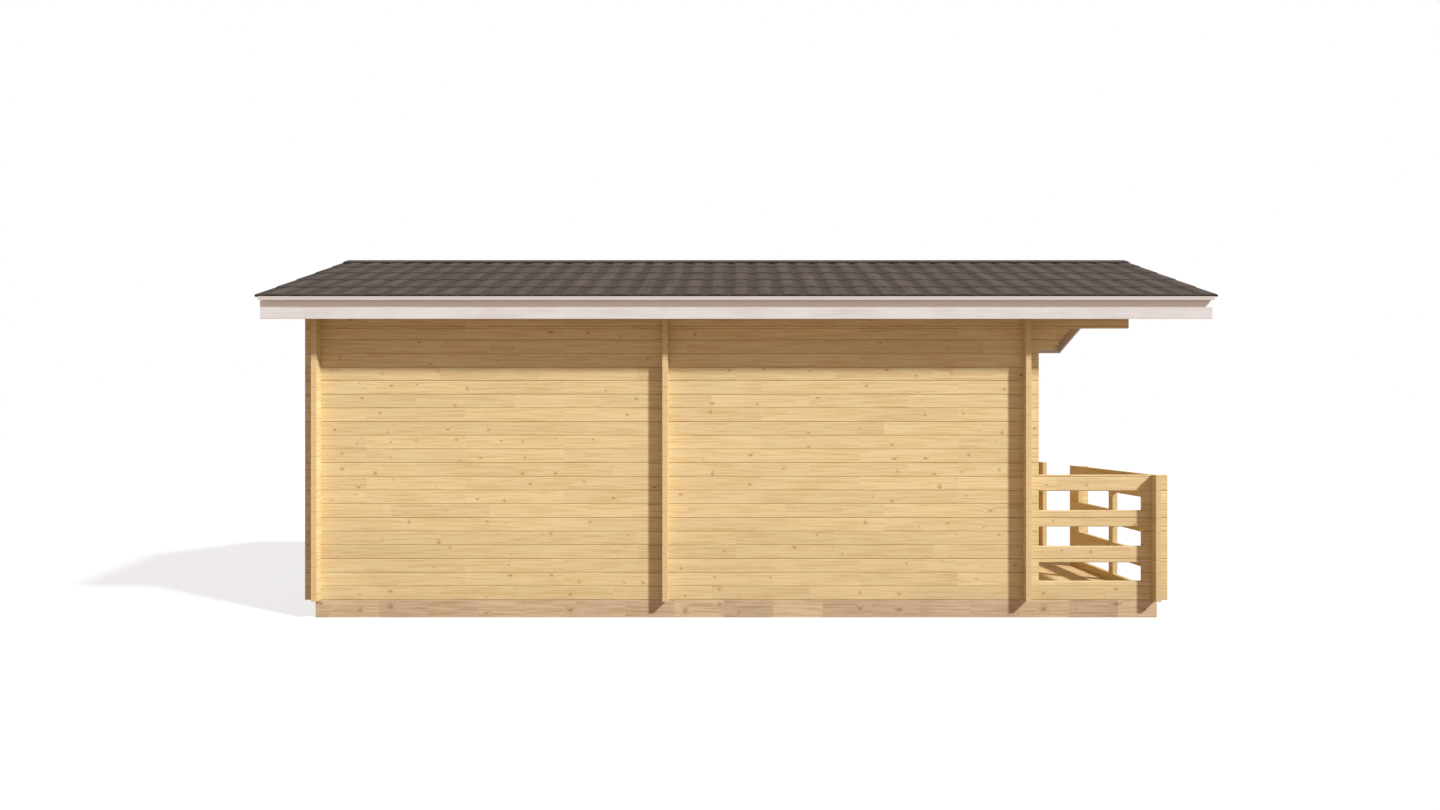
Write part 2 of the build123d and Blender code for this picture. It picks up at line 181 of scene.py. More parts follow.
def add(tree, kind, inputs=(), operation=None, stops=(), **settings):
    """Add a node with its settings, a ramp's stops, and values or links for its inputs, in order or by name.

    It gives the node's outputs. Where they are passed on whole as an input, the first one is linked.
    """
    node = tree.nodes.new(kind)
    if operation:
        node.operation = operation
    for name, value in settings.items():
        setattr(node, name, value)
    pairs = inputs.items() if isinstance(inputs, dict) else enumerate(inputs)
    for socket, value in pairs:
        if isinstance(value, bpy.types.bpy_prop_collection):
            value = value[0]
        if isinstance(value, bpy.types.NodeSocket):
            tree.links.new(value, node.inputs[socket])
        else:
            node.inputs[socket].default_value = value
    for number, (position, colour) in enumerate(stops):
        node.color_ramp.elements[number].position = position
        node.color_ramp.elements[number].color = colour
    return node.outputs


def start_material(name):
    """A material with no nodes, and what adds them to it."""
    material = bpy.data.materials.new(name)
    material.use_nodes = True
    material.node_tree.nodes.clear()
    return material, partial(add, material.node_tree)


def timber(name, run, across, pitch, first, pale, deep, joint=0.43, weather=0.0, roughness=0.62,
           spread=0.045, grain_share=1.0, block_share=1.0, knot_share=1.0):
    """Planed softwood boards side by side, oiled matt. The eye sees long bands of grain, a change of tone
    from board to board and at the finger joints along each one, small knots with bent grain, and dark joint
    lines.

    The boards run along one axis and lie across another at a pitch, counted from first. joint says how dark
    the joint lines are, weather how far rain has greyed the foot, and spread how much the blocks differ.
    """
    look = bpy.context.scene.cabin_timber
    material, put = start_material(name)
    place = put("ShaderNodeTexCoord")["Object"]
    axes = put(SEPARATE, (place,))
    depth = ({"X", "Y", "Z"} - {run, across}).pop()

    # The board's number, the place across it from 0 to 1, and a chance value for each board
    level = put(MATH, (axes[across], first), "SUBTRACT")
    level = put(MATH, (level, pitch), "DIVIDE")
    board = put(MATH, (level,), "FLOOR")
    within = put(MATH, (level,), "FRACT")
    layer = put(MATH, (axes[depth],), "FLOOR")
    board_chance = put(CHANCE, (put(COMBINE, (board, layer)),))
    board_parts = put("ShaderNodeSeparateColor", (board_chance["Color"],))

    # Finger-jointed blocks along the board
    shift = put(MATH, (board_parts[0], 0.25), "SNAP")
    block = put(MATH, (axes[run], 1 / (look.block * block_share), shift), "MULTIPLY_ADD")
    block = put(MATH, (block,), "FLOOR")
    block_chance = put(CHANCE, (put(COMBINE, (block, board, layer)),))

    # Knots: one place in each length of board, and most lengths have one there, large or small
    cell = put(MATH, (board_parts[1], 7.0), "MULTIPLY")
    cell = put(MATH, (axes[run], 1 / look.knot_spacing, cell), "MULTIPLY_ADD")
    cell_number = put(MATH, (cell,), "FLOOR")
    cell_place = put(MATH, (cell,), "FRACT")
    knot_chance = put(CHANCE, (put(COMBINE, (cell_number, layer, board)),))
    knot_parts = put("ShaderNodeSeparateColor", (knot_chance["Color"],))
    knot_along = put(RANGE, {0: knot_parts[0], 3: 0.2, 4: 0.8})
    knot_across = put(RANGE, {0: knot_parts[1], 3: 0.16, 4: 0.84})
    along = put(MATH, (cell_place, knot_along), "SUBTRACT")
    along = put(MATH, (along, look.knot_spacing), "MULTIPLY")
    over = put(MATH, (within, knot_across), "SUBTRACT")
    over = put(MATH, (over, pitch * 1.35), "MULTIPLY")
    away = put(VECTOR, (put(COMBINE, (along, over)),), "LENGTH")["Value"]
    radius = put(RANGE, (knot_parts[2], 0.2, 1.0, 0.0, look.knot_radius * knot_share))
    knot_rim = 0.007
    knot = put(MATH, (radius, away), "SUBTRACT")
    knot = put(MATH, (knot, 1 / knot_rim), "MULTIPLY", use_clamp=True)
    halo_rim = 0.03
    halo = put(MATH, (radius, 2.6), "MULTIPLY")
    halo = put(MATH, (halo, away), "SUBTRACT")
    halo = put(MATH, (halo, 1 / halo_rim), "MULTIPLY", use_clamp=True)

    # Grain: bands drawn out along the run, pushed aside by the knots
    grain = look.grain * grain_share
    band_length = 34 * grain
    bent = put(MATH, (halo, grain * 2.2), "MULTIPLY")
    bent = put(MATH, (axes[across], bent), "ADD")
    wide = put(MATH, (bent, 1 / grain), "MULTIPLY")
    inward = put(MATH, (axes[depth], 1 / grain), "MULTIPLY")
    start = put(MATH, (block_chance["Value"], 40.0), "MULTIPLY")
    slow = put(MATH, (axes[run], 1 / band_length, start), "MULTIPLY_ADD")
    drawn = put(COMBINE, (slow, wide, inward))
    bands = put(NOISE, {"Vector": drawn, "Scale": 1.0, "Detail": 3.0, "Roughness": 0.62, "Distortion": 0.25})
    fine = put(VECTOR, (drawn, (2.0, 4.0, 4.0)), "MULTIPLY")
    fibres = put(NOISE, {"Vector": fine, "Scale": 1.0, "Detail": 2.0})

    # Colour: grain, then the tone of board and block, then knots
    colour = put("ShaderNodeValToRGB", (bands,), stops=((0.36, deep), (0.56, pale)))
    board_tone = put(RANGE, {0: board_chance["Value"], 3: 0.955, 4: 1.035})
    block_tone = put(RANGE, {0: block_chance["Value"], 3: 1 - spread, 4: 1 + spread})
    tone = put(MATH, (board_tone, block_tone), "MULTIPLY")
    colour = put("ShaderNodeHueSaturation", {"Value": tone, "Color": colour})
    bent_part = put(MATH, (halo, 0.35), "MULTIPLY")
    colour = put(MIX, {0: bent_part, 6: colour, 7: deep}, data_type="RGBA")[2]
    knot_part = put(MATH, (knot, 0.54), "MULTIPLY")
    colour = put(MIX, {0: knot_part, 6: colour, 7: look.knot}, data_type="RGBA")[2]

    # Growth rings on the sawn ends, drawn wide enough to show. At scale 1 a wave is tau / 20 long
    ring_spacing = 0.006
    facing = put(SEPARATE, (put("ShaderNodeNewGeometry")["True Normal"],))[run]
    facing = put(MATH, (facing,), "ABSOLUTE")
    end = put(MATH, (facing, 0.7), "GREATER_THAN")
    heart = put(MATH, (within, knot_across), "SUBTRACT")
    heart = put(MATH, (heart, pitch), "MULTIPLY")
    ring_place = put(COMBINE, (axes[depth], heart))
    ring_scale = math.tau / 20 / ring_spacing
    rings = put("ShaderNodeTexWave", {"Vector": ring_place, "Scale": ring_scale, "Distortion": 1.5},
                wave_type="RINGS", rings_direction="Z")[1]
    sawn = put(MIX, {0: rings, 6: deep, 7: look.end_grain}, data_type="RGBA")[2]
    colour = put(MIX, {0: end, 6: colour, 7: sawn}, data_type="RGBA")[2]

    # Joint lines, each of its own depth, and splashed wood near the ground
    joint_width = 0.006
    nearest = put(MATH, (level, 0.5), "ADD")
    nearest = put(MATH, (nearest,), "FLOOR")
    joint_chance = put(CHANCE, {"W": nearest}, noise_dimensions="1D")["Value"]
    joint_depth = put(MATH, (joint_chance, 2.0), "POWER")
    joint_depth = put(RANGE, {0: joint_depth, 3: joint * 0.3, 4: joint})
    gap = put(MATH, (within, 0.5), "PINGPONG")
    line = put(RANGE, (gap, joint_width / pitch, 0.0, 0.0, 1.0))
    line_part = put(MATH, (line, joint_depth), "MULTIPLY")
    colour = put(MIX, {0: line_part, 6: colour, 7: look.knot}, data_type="RGBA")[2]
    if weather:
        splash_top = 0.75
        splash_foot = 0.05
        splash = put(RANGE, (axes["Z"], splash_top, splash_foot, 0.0, weather))
        patch_size = 0.2
        patches = put(NOISE, {"Vector": place, "Scale": 1 / patch_size, "Detail": 5.0})
        splash = put(MATH, (splash, patches), "MULTIPLY")
        colour = put(MIX, {0: splash, 6: colour, 7: look.splashed}, data_type="RGBA")[2]

    raised = put(MATH, (fibres, 0.35, bands), "MULTIPLY_ADD")
    raised = put(MATH, (line, -1.1, raised), "MULTIPLY_ADD")
    normal = put("ShaderNodeBump", {"Height": raised, "Strength": 0.35, "Distance": 0.0012})
    rough = put(RANGE, (fibres, 0.3, 0.7, roughness - 0.06, roughness + 0.1))
    shader = put("ShaderNodeBsdfPrincipled", {
        "Base Color": colour, "Roughness": rough, "Normal": normal, "Specular IOR Level": 0.3,
    })
    put("ShaderNodeOutputMaterial", {"Surface": shader})
    return material


def painted_boards(name, run, wear=0.0, slope=0.0, shadow_foot=None):
    """Softwood board with two coats of white paint, brushed on along the board, which may slope down from
    the ridge to both sides. The eye sees faint brush marks, grime caught in them, more of it where wear is
    higher, and a slightly uneven matt surface. Above shadow_foot the paint is painted paler: painted light
    that lifts the shadow which the eave trim casts on the fascia.
    """
    look = bpy.context.scene.cabin_roof
    material, put = start_material(name)
    place = put("ShaderNodeTexCoord")["Object"]
    if slope:
        axes = put(SEPARATE, (place,))
        side = put(MATH, (axes["Y"],), "ABSOLUTE")
        place = put(COMBINE, (axes["X"], side, axes["Z"]))
        place = put("ShaderNodeVectorRotate", {"Vector": place, "Angle": slope}, rotation_type="X_AXIS")

    # Brush marks, drawn wide enough to show
    mark_width = 0.014
    stretch = [1 / mark_width] * 3
    stretch["XYZ".index(run)] = 1 / (40 * mark_width)
    streaks = put(VECTOR, (place, stretch), "MULTIPLY")
    marks = put(NOISE, {"Vector": streaks, "Scale": 1.0, "Detail": 4.0, "Roughness": 0.6})
    patch_size = 0.45
    patches = put(NOISE, {"Vector": place, "Scale": 1 / patch_size, "Detail": 5.0, "Roughness": 0.6})
    grime = put(MATH, (marks, patches), "MULTIPLY")
    grime = put(MATH, (grime, wear), "ADD")
    colour = put("ShaderNodeValToRGB", (grime,), stops=((0.17, look.paint), (0.42, look.paint_wear)))
    # Painted light: above shadow_foot, in the eave trim's shadow, the paint turns paler to lift that shadow
    if shadow_foot:
        fade = 0.006
        height = put(SEPARATE, (place,))["Z"]
        lightened = put(RANGE, (height, shadow_foot - fade, shadow_foot + fade, 0.0, 1.0))
        colour = put(MIX, {0: lightened, 6: colour, 7: look.paint_in_trim_shadow}, data_type="RGBA")[2]
    normal = put("ShaderNodeBump", {"Height": marks, "Strength": 0.25, "Distance": 0.001})
    rough = put(RANGE, (patches, 0.3, 0.7, 0.42, 0.6))
    shader = put("ShaderNodeBsdfPrincipled", {
        "Base Color": colour, "Roughness": rough, "Normal": normal, "Specular IOR Level": 0.3,
    })
    put("ShaderNodeOutputMaterial", {"Surface": shader})
    return material


def coated_steel(name, trough=None, eave=0.0, row=1.0):
    """Roll-formed steel sheet with a matt, slightly gritty coat. The eye sees a dark warm grey with pale
    dust that rain has drawn out down the slope, a fine grain in the coat and, where trough gives the place
    of one, darker troughs and laps of the tile rows, counted in from the eave: dirt that gathers there and
    painted shade of the waves and laps, with paler crests.
    """
    look = bpy.context.scene.cabin_roof
    material, put = start_material(name)
    place = put("ShaderNodeTexCoord")["Object"]

    # Grit of the coat, drawn coarse enough to show, and dust in streaks and patches
    grit_size = 0.012
    grit = put(NOISE, {"Vector": place, "Scale": 1 / grit_size, "Detail": 2.0, "Roughness": 0.7})
    streak_width = 0.05
    streak_length = 0.7
    stretch = (1 / streak_width, 1 / streak_length, 1 / streak_length)
    washed = put(VECTOR, (place, stretch), "MULTIPLY")
    streaks = put(NOISE, {"Vector": washed, "Scale": 1.0, "Detail": 4.0, "Roughness": 0.6})
    patch_size = 0.3
    patches = put(NOISE, {"Vector": place, "Scale": 1 / patch_size, "Detail": 4.0, "Roughness": 0.65})
    dust = put(MATH, (streaks, patches), "MULTIPLY")
    dust = put(MATH, (grit, 0.25, dust), "MULTIPLY_ADD")
    # Darker troughs and tile laps, paler crests: dirt that gathers there, and painted shade of the waves and
    # laps
    if trough is not None:
        axes = put(SEPARATE, (place,))
        along = put(MATH, (axes["X"], trough), "SUBTRACT")
        away = put(MATH, (along, look.wave / 2), "PINGPONG")
        trough_dirt_and_shade = put(RANGE, (away, 0.0, look.wave / 3, -0.28, 0.1))
        dust = put(MATH, (dust, trough_dirt_and_shade), "ADD")
        inward = put(MATH, (axes["Y"],), "ABSOLUTE")
        inward = put(MATH, (eave, inward), "SUBTRACT")
        inward = put(MATH, (inward, row), "DIVIDE")
        lap_dirt_and_shade = put(MATH, (inward,), "FRACT")
        lap_dirt_and_shade = put(RANGE, (lap_dirt_and_shade, 0.84, 1.0, 0.0, -0.16))
        dust = put(MATH, (dust, lap_dirt_and_shade), "ADD")
    colour = put("ShaderNodeValToRGB", (dust,), stops=((0.28, look.coat), (0.58, look.coat_dust)))
    normal = put("ShaderNodeBump", {"Height": grit, "Strength": 0.2, "Distance": 0.0006})
    rough = put(RANGE, (dust, 0.25, 0.6, 0.66, 0.85))
    shader = put("ShaderNodeBsdfPrincipled", {
        "Base Color": colour, "Roughness": rough, "Normal": normal, "Specular IOR Level": 0.12,
    })
    put("ShaderNodeOutputMaterial", {"Surface": shader})
    return material


def zinc_plate(name, tint, low_rough):
    """Zinc-plated steel of screws, hinges and the lever. The eye sees a grey metal with a blotchy, dulled
    shine.
    """
    material, put = start_material(name)
    place = put("ShaderNodeTexCoord")["Object"]
    spangle = 0.006
    blotches = put(NOISE, {"Vector": place, "Scale": 1 / spangle, "Detail": 3.0, "Roughness": 0.6})
    dull = tuple(0.7 * c for c in linear(tint)[:3]) + (1.0,)
    colour = put("ShaderNodeValToRGB", (blotches,), stops=((0.35, dull), (0.65, linear(tint))))
    rough = put(RANGE, (blotches, 0.3, 0.7, low_rough, low_rough + 0.2))
    normal = put("ShaderNodeBump", {"Height": blotches, "Strength": 0.1, "Distance": 0.0003})
    shader = put("ShaderNodeBsdfPrincipled", {
        "Base Color": colour, "Roughness": rough, "Metallic": 1.0, "Normal": normal,
    })
    put("ShaderNodeOutputMaterial", {"Surface": shader})
    return material


def clear_glass(name):
    """Float glass of the panes. The eye sees a clear sheet with a faint green tint, a bright reflection, and
    dust that dulls it in patches.
    """
    material, put = start_material(name)
    place = put("ShaderNodeTexCoord")["Object"]
    patch_size = 0.2
    dust = put(NOISE, {"Vector": place, "Scale": 1 / patch_size, "Detail": 6.0, "Roughness": 0.65})
    rough = put(RANGE, (dust, 0.4, 0.75, 0.0, 0.09))
    colour = put("ShaderNodeValToRGB", (dust,), stops=((0.4, linear("#EEF5F2")), (0.8, linear("#E2E6E1"))))
    ripple = 0.35
    waves = put(NOISE, {"Vector": place, "Scale": 1 / ripple, "Detail": 1.0})
    normal = put("ShaderNodeBump", {"Height": waves, "Strength": 0.05, "Distance": 0.002})
    shader = put("ShaderNodeBsdfPrincipled", {
        "Base Color": colour, "Roughness": rough, "Normal": normal, "IOR": 1.5, "Transmission Weight": 1.0,
    })
    put("ShaderNodeOutputMaterial", {"Surface": shader})
    return material


def dress(material, *names):
    """Give CAD nodes their finish."""
    for name in names:
        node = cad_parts[name]
        if not node.material_slots:
            node.data.materials.append(material)
        for slot in node.material_slots:
            slot.material = material


def start_tree(name, sockets):
    """A Geometry Nodes tree with inputs named by kind, what adds nodes to it, and what it is given."""
    tree = bpy.data.node_groups.new(name, "GeometryNodeTree")
    for kind, names in sockets.items():
        for socket in names:
            tree.interface.new_socket(socket, in_out="INPUT", socket_type=f"NodeSocket{kind}")
    tree.interface.new_socket("Geometry", in_out="OUTPUT", socket_type="NodeSocketGeometry")
    put = partial(add, tree)
    return tree, put, put("NodeGroupInput")


def tile_sheet_tree():
    """A profiled sheet lying flat: waves along X, steps up Y from the eave at y = 0, height in Z."""
    tree, put, given = start_tree("tile_sheet", {
        "Float": ("Length", "Wave", "First Trough", "Wave Height", "Step", "Step Height", "Lean", "Lip",
                  "Sheet"),
        "Int": ("Steps", "Columns"),
        "Material": ("Coat",),
    })

    # One row of points for the lip that hangs down at the eave, then four to a step, of which the last
    # stands just under the next step's edge
    points = 4
    lap = 0.985
    eave_play = 0.0008
    span = put(MATH, (given["Steps"], points), "MULTIPLY")
    rows = put(MATH, (span, 1.0), "ADD")
    grid = put("GeometryNodeMeshGrid", {
        "Size X": given["Length"], "Size Y": span, "Vertices X": given["Columns"], "Vertices Y": rows,
    })
    axes = put(SEPARATE, (put("GeometryNodeInputPosition"),))
    row = put(MATH, (span, 0.5, axes["Y"]), "MULTIPLY_ADD")
    lip = put(MATH, (row, 0.5), "LESS_THAN")
    row = put(MATH, (row, 1.0), "SUBTRACT")
    row = put(MATH, (row, 0.0), "MAXIMUM")
    step = put(MATH, (row, 1 / points, 0.01), "MULTIPLY_ADD")
    step = put(MATH, (step,), "FLOOR")
    share = put(MATH, (step, -points, row), "MULTIPLY_ADD")
    share = put(MATH, (share, lap / (points - 1)), "MULTIPLY")
    steps_up = put(MATH, (step, share), "ADD")
    up = put(MATH, (steps_up, given["Step"]), "MULTIPLY")
    up = put(MATH, (up, eave_play), "MAXIMUM")
    lean = put(MATH, (steps_up, given["Steps"]), "DIVIDE")
    lean = put(MATH, (lean, given["Lean"]), "MULTIPLY")
    lift = put(MATH, (1.0, share), "SUBTRACT")
    lift = put(MATH, (lift, given["Step Height"], lean), "MULTIPLY_ADD")

    # Broad crests with narrow troughs, which the lip's lower edge follows less deeply
    crest_power = 0.62
    lip_share = 0.85
    along = put(MATH, (given["Length"], 0.5, axes["X"]), "MULTIPLY_ADD")
    along = put(MATH, (along, given["First Trough"]), "SUBTRACT")
    turn = put(MATH, (along, given["Wave"]), "DIVIDE")
    turn = put(MATH, (turn, math.pi), "MULTIPLY")
    crest = put(MATH, (turn,), "SINE")
    crest = put(MATH, (crest,), "ABSOLUTE")
    crest = put(MATH, (crest, crest_power), "POWER")
    crest = put(MATH, (crest, given["Wave Height"]), "MULTIPLY")
    height = put(MATH, (crest, lift), "ADD")
    lip_under = put(MATH, (crest, lip_share), "MULTIPLY")
    lip_under = put(MATH, (lip_under, given["Lip"]), "SUBTRACT")
    height = put(MIX, {0: lip, 2: height, 3: lip_under})
    place = put(COMBINE, (axes["X"], up, height))
    lower = put("GeometryNodeSetPosition", {"Geometry": grid, "Position": place})

    # Thickness: the sheet raised by its thickness, with its edges, over its turned underside
    upper = put("GeometryNodeExtrudeMesh", {
        "Mesh": lower, "Offset": (0.0, 0.0, 1.0), "Offset Scale": given["Sheet"], "Individual": False,
    })
    under = put("GeometryNodeFlipFaces", {"Mesh": lower})
    join = tree.nodes.new("GeometryNodeJoinGeometry")
    for half in (under, upper):
        tree.links.new(half["Mesh"], join.inputs[0])
    merged = put("GeometryNodeMergeByDistance", {"Geometry": join.outputs, "Distance": 0.00005})
    smooth = put("GeometryNodeSetShadeSmooth", {"Geometry": merged, "Shade Smooth": True}, domain="FACE")
    crease = math.radians(32)
    angle = put("GeometryNodeInputMeshEdgeAngle")["Unsigned Angle"]
    sharp = put("FunctionNodeCompare", (angle, crease), "GREATER_THAN")
    creased = put("GeometryNodeSetShadeSmooth", {
        "Geometry": smooth, "Selection": sharp, "Shade Smooth": False,
    }, domain="EDGE")
    whole = put("GeometryNodeRealizeInstances", {"Geometry": creased})
    coated = put("GeometryNodeSetMaterial", {"Geometry": whole, "Material": given["Coat"]})
    put("NodeGroupOutput", {"Geometry": coated})
    return tree


def repeat_tree():
    """The shape given to it, repeated in rows and columns, each copy nudged a little. It is made once."""
    tree = bpy.data.node_groups.get("repeat")
    if tree:
        return tree
    tree, put, given = start_tree("repeat", {
        "Geometry": ("Geometry",),
        "Int": ("Rows", "Columns", "Seed"),
        "Vector": ("Row Step", "Column Step", "Nudge"),
        "Material": ("Finish",),
    })
    count = put(MATH, (given["Rows"], given["Columns"]), "MULTIPLY")
    index = put("GeometryNodeInputIndex")
    row = put(MATH, (index, given["Columns"]), "DIVIDE")
    row = put(MATH, (row,), "FLOOR")
    column = put(MATH, (index, given["Columns"]), "MODULO")
    down = put(VECTOR, {0: given["Row Step"], "Scale": row}, "SCALE")
    over = put(VECTOR, {0: given["Column Step"], "Scale": column}, "SCALE")
    place = put(VECTOR, (down, over), "ADD")
    back = put(VECTOR, {0: given["Nudge"], "Scale": -1.0}, "SCALE")
    nudge = put("FunctionNodeRandomValue", {
        "Min": back, "Max": given["Nudge"], "Seed": given["Seed"],
    }, data_type="FLOAT_VECTOR")
    place = put(VECTOR, (place, nudge), "ADD")
    points = put("GeometryNodePoints", {"Count": count, "Position": place})
    copies = put("GeometryNodeInstanceOnPoints", {"Points": points, "Instance": given["Geometry"]})
    whole = put("GeometryNodeRealizeInstances", {"Geometry": copies})
    finished = put("GeometryNodeSetMaterial", {"Geometry": whole, "Material": given["Finish"]})
    put("NodeGroupOutput", {"Geometry": finished})
    return tree


def new_object(name, data):
    made = bpy.data.objects.new(name, data)
    bpy.context.scene.collection.objects.link(made)
    return made


def grow(name, tree, values, shape=None):
    """Evaluate a tree once and keep the result as a plain mesh object."""
    maker = new_object(name, shape or bpy.data.meshes.new(name))
    modifier = maker.modifiers.new("shape", "NODES")
    modifier.node_group = tree
    for item in tree.interface.items_tree:
        if item.in_out == "INPUT" and item.name in values:
            modifier[item.identifier] = values[item.name]
    evaluated = maker.evaluated_get(bpy.context.evaluated_depsgraph_get())
    baked = bpy.data.meshes.new_from_object(evaluated)
    maker.modifiers.clear()
    maker.data = baked
    return maker


def to_mesh(name, shape):
    mesh = bpy.data.meshes.new(name)
    shape.to_mesh(mesh)
    shape.free()
    return mesh


def boxes(name, spans, edge, cuts=1):
    """A mesh of planed lengths with eased edges, each given by its lowest and highest corner."""
    shape = bmesh.new()
    for low, high in spans:
        low = Vector(low)
        high = Vector(high)
        place = Matrix.Translation((low + high) / 2) @ Matrix.Diagonal((*(high - low), 1))
        corners = bmesh.ops.create_cube(shape, size=1, matrix=place)["verts"]
        edges = list({e for v in corners for e in v.link_edges})
        bmesh.ops.bevel(shape, geom=edges, offset=edge, segments=cuts, affect="EDGES", profile=0.6)
    return to_mesh(name, shape)


def rounds(name, parts):
    """A mesh of turned pieces, each given by its middle, axis, two radii, length and number of sides."""
    shape = bmesh.new()
    for middle, axis, near, far, length, sides in parts:
        turn = Vector(axis).to_track_quat("Z", "Y").to_matrix().to_4x4()
        bmesh.ops.create_cone(
            shape, cap_ends=True, segments=sides, radius1=near, radius2=far, depth=length,
            matrix=Matrix.Translation(middle) @ turn,
        )
    return to_mesh(name, shape)


def settle(made, slot, *nodes):
    """Let a piece move with the cabin and stand for the named nodes."""
    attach(made, "root")
    if nodes:
        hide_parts(*nodes)
    return made


def piece(mesh, material, slot, *nodes):
    """A finished piece, which takes the name of its mesh."""
    mesh.materials.append(material)
    return settle(new_object(mesh.name, mesh), slot, *nodes)


def board_run(name, low, high, run, aim, gap, edge, material, slot, nodes=(), place=None, cuts=1):
    """Boards that lie side by side between two corners, about aim wide, and lengthwise along run."""
    side = 0 if run == "Y" else 1
    count = max(1, round((high[side] - low[side]) / aim))
    step = (high[side] - low[side]) / count
    first_high = list(high)
    first_high[side] = low[side] + step - gap / 2
    first_low = list(low)
    first_low[side] = low[side] + gap / 2
    shape = boxes(name + "_board", [(first_low, first_high)], edge, cuts)
    steps = [0.0, 0.0, 0.0]
    steps[side] = step
    made = grow(name, repeat_tree(), {
        "Rows": 1, "Columns": count, "Column Step": steps, "Nudge": (0.0, 0.0, 0.0), "Seed": 4,
        "Finish": material,
    }, shape)
    if place:
        made.data.transform(place)
    return settle(made, slot, *nodes)


def slope_place(side, up):
    """The place on a roof slope of a piece made flat, with +Y up the slope from the eave, raised by up."""
    low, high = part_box("roof_tiles_left")
    pitch = bpy.context.scene.cabin_roof.pitch
    lean = (high.z - low.z - math.tan(pitch) * (high.y - low.y)) * math.cos(pitch) * math.sin(pitch)
    eave = Vector((0, low.y + lean, low.z + math.tan(pitch) * lean))
    normal = Vector((0, -math.sin(pitch), math.cos(pitch)))
    place = Matrix.Translation(eave + normal * up) @ Matrix.Rotation(pitch, 4, "X")
    return place if side == "left" else Matrix.Rotation(math.pi, 4, "Z") @ place


class CABIN_OT_stage(bpy.types.Operator):
    """Set the camera, the key light, the light from all round and a pale floor that keeps the shadow"""

    bl_idname = "cabin.stage"
    bl_label = "Stage"

    def execute(self, context):
        stage = context.scene.cabin_stage
        context.scene.view_settings.view_transform = "Standard"
        lens = bpy.data.cameras.new("camera")
        lens.lens = stage.lens
        lens.shift_x = stage.shift_x
        lens.shift_y = stage.shift_y
        camera = new_object("camera", lens)
        camera.location = stage.camera
        camera.rotation_euler = (math.pi / 2, 0, 0)
        context.scene.camera = camera

        lamp = bpy.data.lights.new("key", "SUN")
        lamp.energy = stage.key_strength
        lamp.angle = stage.key_width
        key = new_object("key", lamp)
        key.rotation_euler = Vector(stage.key_from).to_track_quat("Z", "Y").to_euler()

        world = bpy.data.worlds.new("studio")
        world.use_nodes = True
        world.node_tree.nodes.clear()
        context.scene.world = world
        put = partial(add, world.node_tree)
        seen = self.seen_directly(put)
        fill = put("ShaderNodeBackground", {"Color": stage.fill_colour, "Strength": stage.fill})
        white = put("ShaderNodeBackground", {"Color": (1, 1, 1, 1), "Strength": 1.0})
        put("ShaderNodeOutputWorld", {"Surface": put("ShaderNodeMixShader", (seen, fill, white))})

        # The floor glows where it is seen, so that it is white in the light and pale in the shadow
        material, put = start_material("studio floor")
        seen = self.seen_directly(put)
        bounce = put("ShaderNodeBsdfDiffuse", {"Color": stage.floor_bounce})
        lit = put("ShaderNodeBsdfDiffuse", {"Color": stage.floor_lit})
        glow = put("ShaderNodeEmission", {"Color": (1, 1, 1, 1), "Strength": stage.floor_glow})
        pale = put("ShaderNodeAddShader", (lit, glow))
        put("ShaderNodeOutputMaterial", {"Surface": put("ShaderNodeMixShader", (seen, bounce, pale))})
        half = 120.0
        corners = [(-half, -half, 0), (half, -half, 0), (half, half, 0), (-half, half, 0)]
        mesh = bpy.data.meshes.new("studio_floor")
        mesh.from_pydata(corners, [], [(0, 1, 2, 3)])
        mesh.materials.append(material)
        floor = new_object("studio_floor", mesh)
        return {"FINISHED"}

    def seen_directly(self, put):
        """1 for rays that show the background itself, in view, in a reflection or through glass."""
        path = put("ShaderNodeLightPath")
        seen = put(MATH, (path["Is Camera Ray"], path["Is Glossy Ray"]), "MAXIMUM")
        return put(MATH, (seen, path["Is Transmission Ray"]), "MAXIMUM")


class CABIN_OT_planks(bpy.types.Operator):
    """Finish the plank walls, the balustrade and the base"""

    bl_idname = "cabin.planks"
    bl_label = "Planks and base"

    def execute(self, context):
        look = context.scene.cabin_timber
        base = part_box("left_wall")[0].z
        long_walls = (
            "left_wall", "right_wall", "left_corbel_planks", "right_corbel_planks", "left_eave_beam",
            "right_eave_beam", "left_balustrade_rails", "right_balustrade_rails", "side_spacers",
            "entry_end_block", "ridge_purlin", "mid_purlins",
        )
        cross_walls = (
            "rear_wall_lower", "rear_wall_piers", "rear_gable", "partition_sides", "partition_gable",
            "front_wall_sole", "front_wall_lower", "front_wall_piers", "front_gable",
        )
        porch_front = ("front_balustrade_rails", "front_spacers", "entry_corner_post")
        for name, run, first, nodes in (
            ("long walls", "X", base, long_walls),
            ("cross walls", "Y", base + look.course / 2, cross_walls),
            ("porch front", "Y", base, porch_front),
        ):
            spruce = timber(f"planed spruce, {name}", run, "Z", look.course, first, look.pale, look.deep,
                            weather=0.3)
            dress(spruce, *nodes)
        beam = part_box("base_beams")[1].z
        for node, run in (("base_beams", "X"), ("base_joists", "Y")):
            sawn = timber(
                f"sawn treated pine, {node}", run, "Z", beam, 0.0, look.base_pale, look.base_deep, joint=0.0,
                weather=0.3, roughness=0.8, spread=0.13, grain_share=1.3, block_share=0.5, knot_share=1.5,
            )
            dress(sawn, node)
        return {"FINISHED"}


def first_troughs(length):
    """How far in from its low end along X the first trough of each slope's sheet lies."""
    look = bpy.context.scene.cabin_roof
    return {"left": look.first_trough, "right": (length - look.first_trough) % look.wave}


